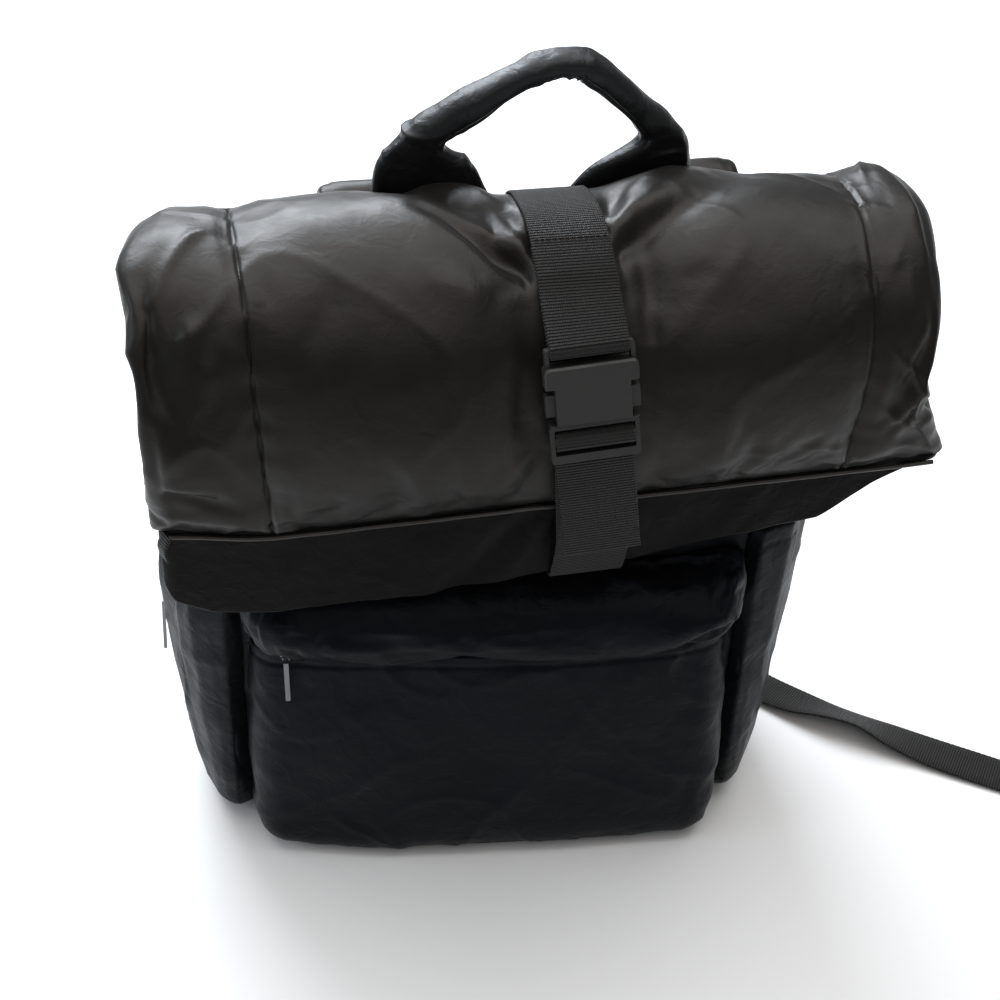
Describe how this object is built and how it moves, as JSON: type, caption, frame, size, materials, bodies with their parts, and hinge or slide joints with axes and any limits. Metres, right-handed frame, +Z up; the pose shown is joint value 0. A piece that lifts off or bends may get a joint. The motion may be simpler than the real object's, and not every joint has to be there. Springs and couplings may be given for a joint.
{
  "type": "backpack",
  "caption": "Padded roll-top backpack with a strap-and-buckle closure, a front zip pocket, gathered side pockets, a padded grab handle and padded shoulder straps.",
  "frame": {"origin": "centre of the flat base on the floor", "axes": "+Z up, -Y out of the front, where the strap and the buckle are, +X to the right in a front view"},
  "size_m": [0.535, 0.2102, 0.4612],
  "materials": {
    "puffer": "satin padded nylon",
    "puffer_lower": "satin nylon",
    "webbing": "woven webbing",
    "plastic": "fine matte",
    "metal": "satin"
  },
  "bodies": {
    "root": {"body_shell": "puffer_lower", "roll_top": "puffer", "mouth_band": "puffer", "hem_piping": "webbing", "front_pocket": "puffer_lower", "pocket_baffle": "puffer", "front_zip": "plastic", "front_zip_pull": "metal", "side_pocket_left": "puffer_lower", "side_zip_pull": "metal", "side_pocket_right": "puffer_lower", "handle": "puffer", "closure_webbing_upper": "webbing", "buckle_female": "plastic", "buckle_male": "plastic", "closure_webbing_lower": "webbing", "shoulder_strap_left": "puffer", "shoulder_strap_right": "puffer", "strap_tab_left": "webbing", "strap_tab_right": "webbing", "strap_adjuster_left": "plastic", "strap_adjuster_right": "plastic", "adjust_webbing_left": "webbing", "adjust_webbing_right": "webbing"}
  },
  "joints": []
}
